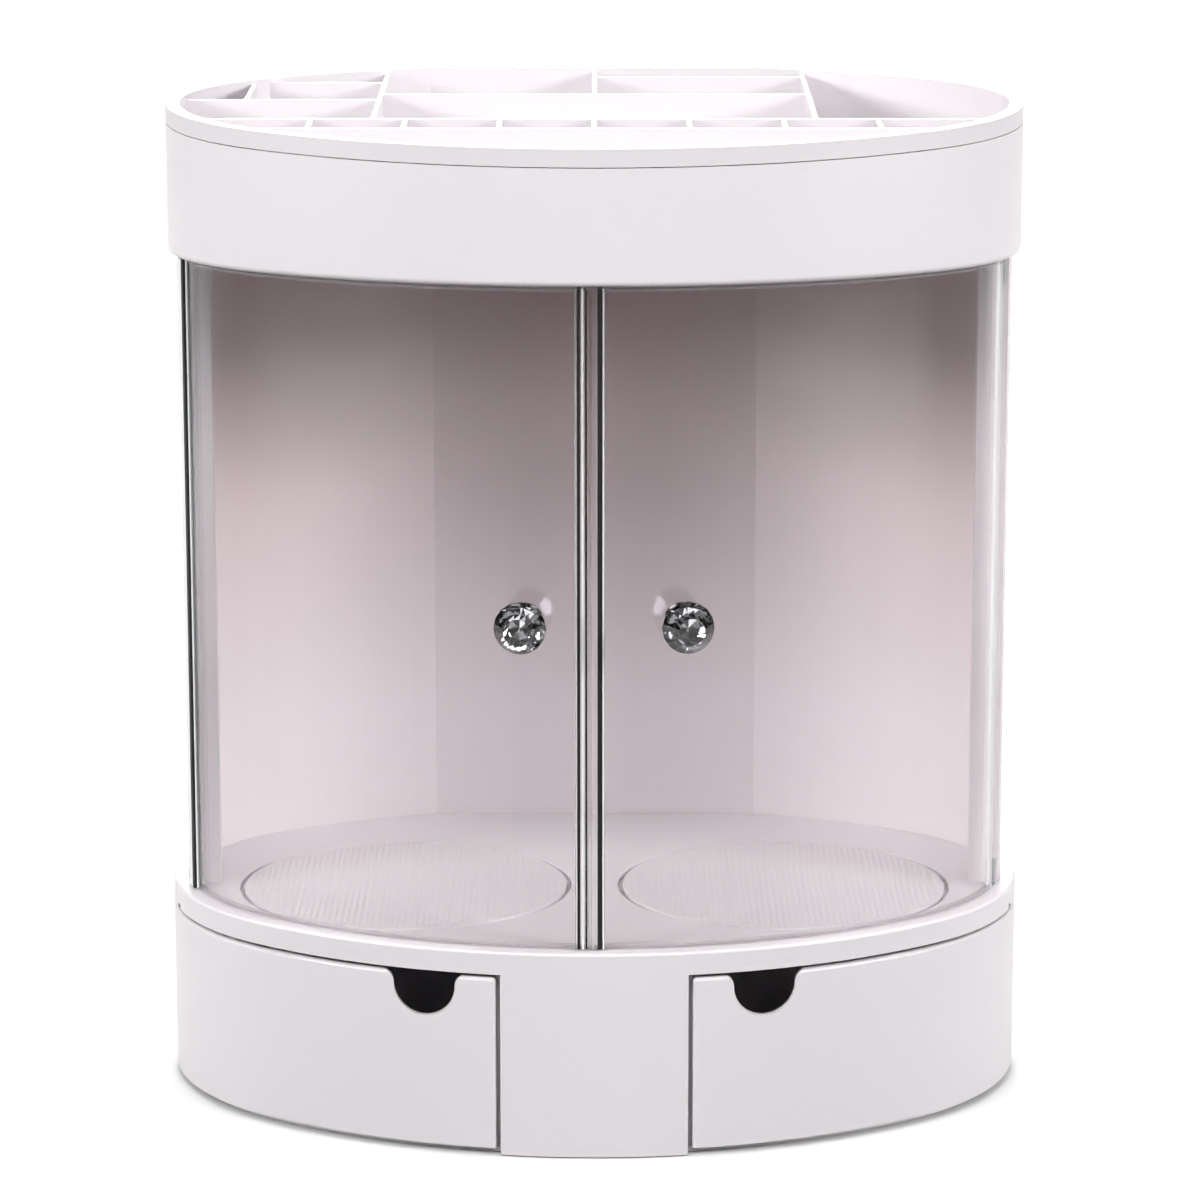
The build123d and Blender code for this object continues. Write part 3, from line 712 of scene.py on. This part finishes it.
def crystal_material(side, finish):
    """Cut crystal with a mirrored back, as glued stones have; the mirror's dark colour is a painted dark
    reflection.
    """
    material, tree = new_tree(f"{side}_cut_crystal")
    axis = knob_axis(side)
    depths = [axis.dot(vertex.co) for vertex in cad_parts[f"{side}_knob_crystal"].data.vertices]
    low, high = min(depths), max(depths)
    place = object_place(tree)
    depth = vector_math(tree, "DOT_PRODUCT", place, axis, "Value")
    behind = depth < low + (high - low) * finish.foil_share
    waves = grain_noise(tree, place, CRYSTAL_WAVE_SIZE)
    colour = tuple(finish.crystal)
    stone = tree.node(
        "ShaderNodeBsdfPrincipled",
        inputs={
            "Base Color": tinted(tree, waves, shaded(colour, CRYSTAL_SHARE), colour),
            "Roughness": waves * 0.01,
            "IOR": CRYSTAL_IOR,
            "Transmission Weight": 1.0,
        },
    )
    # Painted dark reflection: the mirrored back is dark grey
    foil = tree.node(
        "ShaderNodeBsdfPrincipled",
        inputs={
            "Base Color": tinted(tree, waves, FOIL_DARK, FOIL_SHADE),
            "Metallic": 1.0,
            "Roughness": 0.02 + waves * 0.03,
        },
    )
    finish_tree(tree, mixed(tree, behind, stone, foil))
    return material


def foil_material():
    """Mirrored backing of the crystals, whose facets are painted bright or dark by their own glint share:
    painted glints and painted dark reflections.
    """
    material, tree = new_tree("mirror_foil")
    place = object_place(tree)
    haze = grain_noise(tree, place, FOIL_HAZE_SIZE)
    silver = tree.node("ShaderNodeAttribute", {"attribute_name": "silver"}, output="Fac")
    shader = tree.node(
        "ShaderNodeBsdfPrincipled",
        inputs={
            "Base Color": tinted(tree, silver, FOIL_DARK, FOIL_GLINT),
            "Metallic": 1.0,
            "Roughness": 0.005 + haze * 0.02,
        },
    )
    finish_tree(tree, shader)
    return material


def metal_material(name, colour, roughness, size):
    """Plated or plain metal with fine turning marks."""
    material, tree = new_tree(name)
    place = object_place(tree)
    marks = grain_noise(tree, place, size, ROUGH_DETAIL)
    shader = tree.node(
        "ShaderNodeBsdfPrincipled",
        inputs={
            "Base Color": tinted(tree, marks, shaded(colour, METAL_SHARE), colour),
            "Metallic": 1.0,
            "Roughness": roughness + marks * 0.08,
        },
    )
    finish_tree(tree, shader)
    return material


def rubber_material(name, colour):
    """Soft pale rubber with a dull, slightly dusty face."""
    material, tree = new_tree(name)
    place = object_place(tree)
    dust = grain_noise(tree, place, DUST_SIZE, ROUGH_DETAIL)
    normal = tree.node(
        "ShaderNodeBump",
        inputs={"Strength": 0.3, "Distance": 0.1 * MILLIMETRE, "Height": dust},
    )
    shader = tree.node(
        "ShaderNodeBsdfPrincipled",
        inputs={
            "Base Color": tinted(tree, dust, shaded(colour, DUST_SHARE), colour),
            "Roughness": 0.7 + dust * 0.2,
            "Normal": normal,
        },
    )
    finish_tree(tree, shader)
    return material


def new_geometry(name, sizes):
    """An empty geometry tree whose inputs are a geometry and named sizes, and wires from those inputs."""
    tree = bpy.data.node_groups.new(name, "GeometryNodeTree")
    tree.interface.new_socket("Geometry", in_out="OUTPUT", socket_type="NodeSocketGeometry")
    tree.interface.new_socket("Geometry", in_out="INPUT", socket_type="NodeSocketGeometry")
    for size in sizes:
        tree.interface.new_socket(size, in_out="INPUT", socket_type="NodeSocketFloat")
    start = Wire(tree)
    outputs = start.node("NodeGroupInput").socket.node.outputs
    return start, {socket.name: Wire(tree, socket) for socket in outputs if socket.name}


def finish_geometry(start, geometry, material):
    """Ends a geometry tree with one real mesh in one material."""
    real = start.node("GeometryNodeRealizeInstances", inputs={"Geometry": geometry})
    done = start.node("GeometryNodeSetMaterial", inputs={"Geometry": real, "Material": material})
    start.node("NodeGroupOutput", inputs={"Geometry": done})


def rib_tree(material):
    """Half-round ribs, side by side, each as long as a round disc is there."""
    start, sizes = new_geometry("disc_ribs", ("Radius", "Pitch", "Rib radius", "Rise"))
    count = start.math("FLOOR", sizes["Radius"] * 2 / sizes["Pitch"])
    first = (count - 1) * sizes["Pitch"] * -0.5
    line = start.node(
        "GeometryNodeMeshLine",
        {"mode": "OFFSET"},
        {
            "Count": count,
            "Start Location": start.node("ShaderNodeCombineXYZ", inputs={"X": first}),
            "Offset": start.node("ShaderNodeCombineXYZ", inputs={"X": sizes["Pitch"]}),
        },
    )
    place = start.node("GeometryNodeInputPosition")
    across = axis_of(start, place, "X")
    squared = sizes["Radius"] * sizes["Radius"] - across * across
    reach = start.math("SQRT", start.math("MAXIMUM", squared, 0.0))
    rib = start.node(
        "GeometryNodeMeshCylinder",
        inputs={"Vertices": RIB_FACETS, "Radius": sizes["Rib radius"], "Depth": 1.0},
    )
    scale = start.node(
        "ShaderNodeCombineXYZ",
        inputs={"X": 1.0, "Y": sizes["Rise"] / sizes["Rib radius"], "Z": reach * 2},
    )
    ribs = start.node(
        "GeometryNodeInstanceOnPoints",
        inputs={"Points": line, "Instance": rib, "Rotation": (math.pi / 2, 0, 0), "Scale": scale},
    )
    finish_geometry(start, ribs, material)
    return start.tree


def recess_tree(material):
    """A dark cross of painted shade on each point, standing in for a cross recess, turned to the point's
    facing and as wide as its span.
    """
    start, sizes = new_geometry("cross_recesses", ("Bar share", "Depth share"))
    facing = start.node(
        "GeometryNodeInputNamedAttribute", {"data_type": "FLOAT_VECTOR"}, {"Name": "facing"}
    )
    span = start.node("GeometryNodeInputNamedAttribute", {"data_type": "FLOAT"}, {"Name": "span"})
    turn = start.node("FunctionNodeAlignRotationToVector", {"axis": "Z"}, {"Vector": facing})
    bar = start.node(
        "GeometryNodeMeshCone",
        inputs={"Vertices": 4, "Radius Top": RECESS_TIP, "Radius Bottom": RECESS_FOOT, "Depth": 1.0},
    )
    bars = []
    for angle in (0, math.pi / 2):
        squared = start.node(
            "GeometryNodeTransform", inputs={"Geometry": bar, "Rotation": (0, 0, math.pi / 4)}
        )
        slim = start.node(
            "GeometryNodeTransform",
            inputs={
                "Geometry": squared,
                "Scale": start.node(
                    "ShaderNodeCombineXYZ",
                    inputs={"X": 1.0, "Y": sizes["Bar share"], "Z": sizes["Depth share"]},
                ),
            },
        )
        bars.append(
            start.node("GeometryNodeTransform", inputs={"Geometry": slim, "Rotation": (0, 0, angle)})
        )
    cross = start.node("GeometryNodeJoinGeometry", inputs={"Geometry": bars[0]})
    start.tree.links.new(bars[1].socket, cross.socket.node.inputs["Geometry"])
    scale = start.node("ShaderNodeCombineXYZ", inputs={"X": span, "Y": span, "Z": span})
    crosses = start.node(
        "GeometryNodeInstanceOnPoints",
        inputs={"Points": sizes["Geometry"], "Instance": cross, "Rotation": turn, "Scale": scale},
    )
    finish_geometry(start, crosses, material)
    return start.tree


def grown(name, tree, mesh, values, body, shift=(0, 0, 0)):
    """Runs a geometry tree once on a mesh and keeps its result as a plain piece on a body."""
    holder = linked(f"{name}_maker", mesh)
    modifier = holder.modifiers.new("maker", "NODES")
    modifier.node_group = tree
    for item in tree.interface.items_tree:
        if item.in_out == "INPUT" and item.name in values:
            modifier[item.identifier] = float(values[item.name])
    bpy.context.view_layer.update()
    graph = bpy.context.evaluated_depsgraph_get()
    made = bpy.data.meshes.new_from_object(holder.evaluated_get(graph))
    bpy.data.objects.remove(holder)
    if not made.polygons:
        raise RuntimeError(f"{name} came out empty")
    for vertex in made.vertices:
        vertex.co += Vector(shift)
    made.name = name
    piece = linked(name, made)
    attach(piece, body)


def head_places(node, outward):
    """Middles of the flat screw heads of a node that face outward."""
    points = [vertex.co.copy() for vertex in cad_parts[node].data.vertices]
    top = max(outward.dot(point) for point in points)
    groups = []
    for point in points:
        if outward.dot(point) > top - HEAD_FLATNESS:
            near = [group for group in groups if (group[0] - point).length < HEAD_DISTANCE]
            if near:
                near[0].append(point)
            else:
                groups.append([point])
    middles = []
    for group in groups:
        lows = [min(point[axis] for point in group) for axis in range(3)]
        highs = [max(point[axis] for point in group) for axis in range(3)]
        middles.append((Vector(lows) + Vector(highs)) / 2)
    return middles


def recess_points(rows):
    """Mesh of points with a facing and a span, for the recesses of one body."""
    mesh = bpy.data.meshes.new("recess_points")
    mesh.from_pydata([place for place, _, _ in rows], [], [])
    mesh.attributes.new("facing", "FLOAT_VECTOR", "POINT")
    mesh.attributes.new("span", "FLOAT", "POINT")
    for index, (_, outward, width) in enumerate(rows):
        mesh.attributes["facing"].data[index].vector = outward
        mesh.attributes["span"].data[index].value = width
    return mesh


def dress(nodes, material):
    """Gives CAD nodes one material."""
    for name in nodes:
        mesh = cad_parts[name].data
        mesh.materials.clear()
        mesh.materials.append(material)


def drawer_stop(side, material):
    """Narrow stop on the post, deep in the gap beside a closed drawer."""
    low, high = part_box(f"{side}_drawer")
    sign = -1 if side == "left" else 1
    inner = min(abs(low.x), abs(high.x))
    across = [sign * (inner - reach) for reach in (STOP_CLEAR, STOP_CLEAR + STOP_WIDTH)]
    along = [STOP_FRONT, STOP_FRONT + STOP_DEPTH]
    upward = [low.z, high.z - STOP_CLEAR]
    mesh = bmesh.new()
    for corner in bmesh.ops.create_cube(mesh, size=1.0)["verts"]:
        spans = (across, along, upward)
        corner.co = [span[value > 0] for span, value in zip(spans, corner.co)]
    name = f"{side}_drawer_stop"
    piece = linked(name, plain_mesh(name, mesh, material))
    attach(piece, "cabinet")


class ORGANIZER_OT_mouldings(bpy.types.Operator):
    """Dresses the tray, housing, shell, base and drawers in moulded plastic"""

    bl_idname = "organizer.mouldings"
    bl_label = "Mouldings"

    def execute(self, context):
        finish = context.scene.organizer_finish
        colour = tuple(finish.plastic)
        dress(MOULDED, plastic_material("moulded_plastic", colour, finish))
        # Painted shade: the tray gets a darker copy of the plastic's colour
        shaded_insert = shaded(colour, TRAY_SHADE_SHARE)
        dress(("compartment_tray",), plastic_material("tray_plastic", shaded_insert, finish))
        drawer_plastic = plastic_material("drawer_plastic", colour, finish)
        dress(DRAWERS, drawer_plastic)
        for side in SIDES:
            drawer_stop(side, drawer_plastic)
        dress(("back_shell",), shell_material(finish))
        dress(("rubber_feet",), rubber_material("pale_rubber", PALE_RUBBER))
        return {"FINISHED"}


class ORGANIZER_OT_turntables(bpy.types.Operator):
    """Dresses the turntables and lays fine ribs over their tops"""

    bl_idname = "organizer.turntables"
    bl_label = "Turntables"

    def execute(self, context):
        finish = context.scene.organizer_finish
        plastic = plastic_material("turntable_plastic", tuple(finish.plastic), finish)
        dress(TURNTABLES, plastic)
        tree = rib_tree(plastic)
        for name in TURNTABLES:
            low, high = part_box(name)
            values = {
                "Radius": (high.x - low.x) / 2 - finish.rib_margin,
                "Pitch": finish.rib_pitch,
                "Rib radius": finish.rib_pitch * RIB_SHARE,
                "Rise": finish.rib_rise,
            }
            middle = ((low.x + high.x) / 2, (low.y + high.y) / 2, high.z)
            mesh = bpy.data.meshes.new("ribs")
            grown(f"{name}_ribs", tree, mesh, values, name, middle)
        return {"FINISHED"}


class ORGANIZER_OT_doors(bpy.types.Operator):
    """Dresses the door panels and their edge strips in clear acrylic"""

    bl_idname = "organizer.doors"
    bl_label = "Doors"

    def execute(self, context):
        finish = context.scene.organizer_finish
        dress(PANELS, panel_material(finish))
        for node, bands in STRIPS.items():
            dress((node,), strip_material(node, bands, finish))
        return {"FINISHED"}


class ORGANIZER_OT_knobs(bpy.types.Operator):
    """Dresses the faceted knobs and their plated seats"""

    bl_idname = "organizer.knobs"
    bl_label = "Knobs"

    def execute(self, context):
        finish = context.scene.organizer_finish
        foil = foil_material()
        for side in SIDES:
            dress((f"{side}_knob_crystal",), crystal_material(side, finish))
            knob_foil(side, foil, finish)
        dress(SEATS, metal_material("plated_seat", PLATING, 0.05, PLATING_MARKS))
        return {"FINISHED"}


class ORGANIZER_OT_fasteners(bpy.types.Operator):
    """Dresses pins, washers and screws in plain steel and marks the cross recesses of the screws with painted
    shade
    """

    bl_idname = "organizer.fasteners"
    bl_label = "Fasteners"

    def execute(self, context):
        finish = context.scene.organizer_finish
        dress(STEEL, metal_material("plain_steel", PLAIN_STEEL, 0.25, STEEL_MARKS))
        down, up = Vector((0, 0, -1)), Vector((0, 0, 1))
        heads = {
            "cabinet": (("base_screws", down), ("deck_screws", down), ("roof_screws", up)),
            "left_door": (("left_knob_screw", -knob_axis("left")),),
            "right_door": (("right_knob_screw", -knob_axis("right")),),
            "left_turntable": (("left_turntable_screw", down),),
            "right_turntable": (("right_turntable_screw", down),),
        }
        # Painted shade: dark crosses where the screws' recesses would be in shade
        tree = recess_tree(metal_material("dark_recess", RECESS_SHADE, 0.5, STEEL_MARKS))
        for body, screws in heads.items():
            rows = []
            for node, outward in screws:
                rows += [(place, outward, finish.recess) for place in head_places(node, outward)]
            grown(f"{body}_screw_recesses", tree, recess_points(rows), RECESS_SHARES, body)
        return {"FINISHED"}


def cove():
    """Round pale backdrop that grows out of the floor. It is only seen, and lights nothing."""
    mesh = bmesh.new()
    rings = []
    turns = [2 * math.pi * index / COVE_SIDES for index in range(COVE_SIDES)]
    for radius, height in COVE_PROFILE:
        corners = [(radius * math.cos(turn), radius * math.sin(turn), height) for turn in turns]
        rings.append([mesh.verts.new(corner) for corner in corners])
    for lower, upper in zip(rings, rings[1:]):
        for index in range(COVE_SIDES):
            after = (index + 1) % COVE_SIDES
            mesh.faces.new((lower[index], lower[after], upper[after], upper[index]))
    material, tree = new_tree("pale_backdrop")
    place = object_place(tree)
    away = tree.node("ShaderNodeVectorMath", {"operation": "LENGTH"}, {0: place}, "Value")
    shown = ramp(tree, away, COVE_PROFILE[0][0], COVE_PROFILE[1][0])
    pale = tree.node("ShaderNodeEmission", inputs={"Strength": 1.0})
    finish_tree(tree, mixed(tree, shown, clear_shader(tree, (1.0, 1.0, 1.0)), pale))
    backdrop = linked("studio_backdrop", plain_mesh("studio_backdrop", mesh, material))
    backdrop.visible_diffuse = False
    backdrop.visible_glossy = False
    backdrop.visible_transmission = False
    backdrop.visible_shadow = False
    return backdrop


def pale_floor():
    """Plain floor that throws no light back at the object."""
    bpy.ops.mesh.primitive_plane_add(size=FLOOR_SIZE)
    floor = bpy.context.object
    floor.name = "studio_floor"
    material, tree = new_tree("pale_floor")
    cloud = grain_noise(tree, object_place(tree), FLOOR_CLOUD_SIZE)
    shader = tree.node(
        "ShaderNodeBsdfPrincipled",
        inputs={
            "Base Color": tinted(tree, cloud, FLOOR_DARK, FLOOR_PALE),
            "Roughness": 0.8,
            "Specular IOR Level": 0.1,
        },
    )
    finish_tree(tree, shader)
    floor.data.materials.append(material)
    floor.visible_diffuse = False
    return floor


def even_light(studio):
    """World that gives a little light from all sides, and more from above."""
    world = bpy.data.worlds.new("studio_world")
    world.use_nodes = True
    world.node_tree.nodes.clear()
    air = Wire(world.node_tree)
    aim = air.node("ShaderNodeTexCoord", output="Generated")
    rise = air.math("MAXIMUM", axis_of(air, aim, "Z"), 0.0)
    strength = rise * (studio.zenith - studio.horizon) + studio.horizon
    glow = air.node("ShaderNodeBackground", inputs={"Strength": strength})
    air.node("ShaderNodeOutputWorld", inputs={"Surface": glow})
    return world


def soft_light(name, place, target, size, spread, power):
    """Rectangular light at a place that shines at a target and isn't seen itself."""
    lamp = bpy.data.lights.new(name, "AREA")
    lamp.shape = "RECTANGLE"
    lamp.size, lamp.size_y = size
    lamp.spread = math.radians(spread)
    lamp.energy = power
    light = linked(name, lamp)
    light.location = place
    light.visible_camera = False
    light.rotation_euler = (Vector(target) - Vector(place)).to_track_quat("-Z", "Y").to_euler()


class ORGANIZER_OT_studio(bpy.types.Operator):
    """Makes the pale floor, the backdrop, the soft lights and the camera"""

    bl_idname = "organizer.studio"
    bl_label = "Studio"

    def execute(self, context):
        studio = context.scene.organizer_studio
        scene = context.scene
        scene.view_settings.view_transform = "Standard"
        floor = pale_floor()
        backdrop = cove()
        scene.world = even_light(studio)
        for name, (place, target, size, spread, power) in LIGHTS.items():
            soft_light(name, place, target, size, spread, getattr(studio, power))
        lens = bpy.data.cameras.new("studio_camera")
        lens.lens = studio.lens
        lens.sensor_width = SENSOR_WIDTH
        lens.clip_end = CLIP_END
        camera = linked("studio_camera", lens)
        camera.location = studio.camera_place
        camera.rotation_euler = (math.pi / 2 - studio.camera_pitch, 0, 0)
        scene.camera = camera
        return {"FINISHED"}


class ORGANIZER_PT_panel(bpy.types.Panel):
    """Lists the organizer's pieces and its studio"""

    bl_idname = "ORGANIZER_PT_panel"
    bl_label = "Makeup Organizer"
    bl_space_type = "VIEW_3D"
    bl_region_type = "UI"
    bl_category = "Organizer"

    def draw(self, context):
        layout = self.layout
        for group in (context.scene.organizer_finish, context.scene.organizer_studio):
            for name in group.__annotations__:
                layout.prop(group, name)
        for operator in OPERATORS:
            layout.operator(operator.bl_idname)


OPERATORS = (
    ORGANIZER_OT_mouldings,
    ORGANIZER_OT_turntables,
    ORGANIZER_OT_doors,
    ORGANIZER_OT_knobs,
    ORGANIZER_OT_fasteners,
    ORGANIZER_OT_studio,
)
CLASSES = (OrganizerFinish, OrganizerStudio, *OPERATORS, ORGANIZER_PT_panel)


def register():
    """Adds the classes and the scene's settings."""
    for cls in CLASSES:
        bpy.utils.register_class(cls)
    bpy.types.Scene.organizer_finish = PointerProperty(type=OrganizerFinish)
    bpy.types.Scene.organizer_studio = PointerProperty(type=OrganizerStudio)


def unregister():
    """Takes the settings and the classes away again."""
    del bpy.types.Scene.organizer_studio
    del bpy.types.Scene.organizer_finish
    for cls in reversed(CLASSES):
        bpy.utils.unregister_class(cls)


def main():
    """Dresses the organizer."""
    register()
    bpy.ops.organizer.mouldings()
    bpy.ops.organizer.turntables()
    bpy.ops.organizer.doors()
    bpy.ops.organizer.knobs()
    bpy.ops.organizer.fasteners()
    bpy.ops.organizer.studio()


if __name__ == "__main__":
    main()
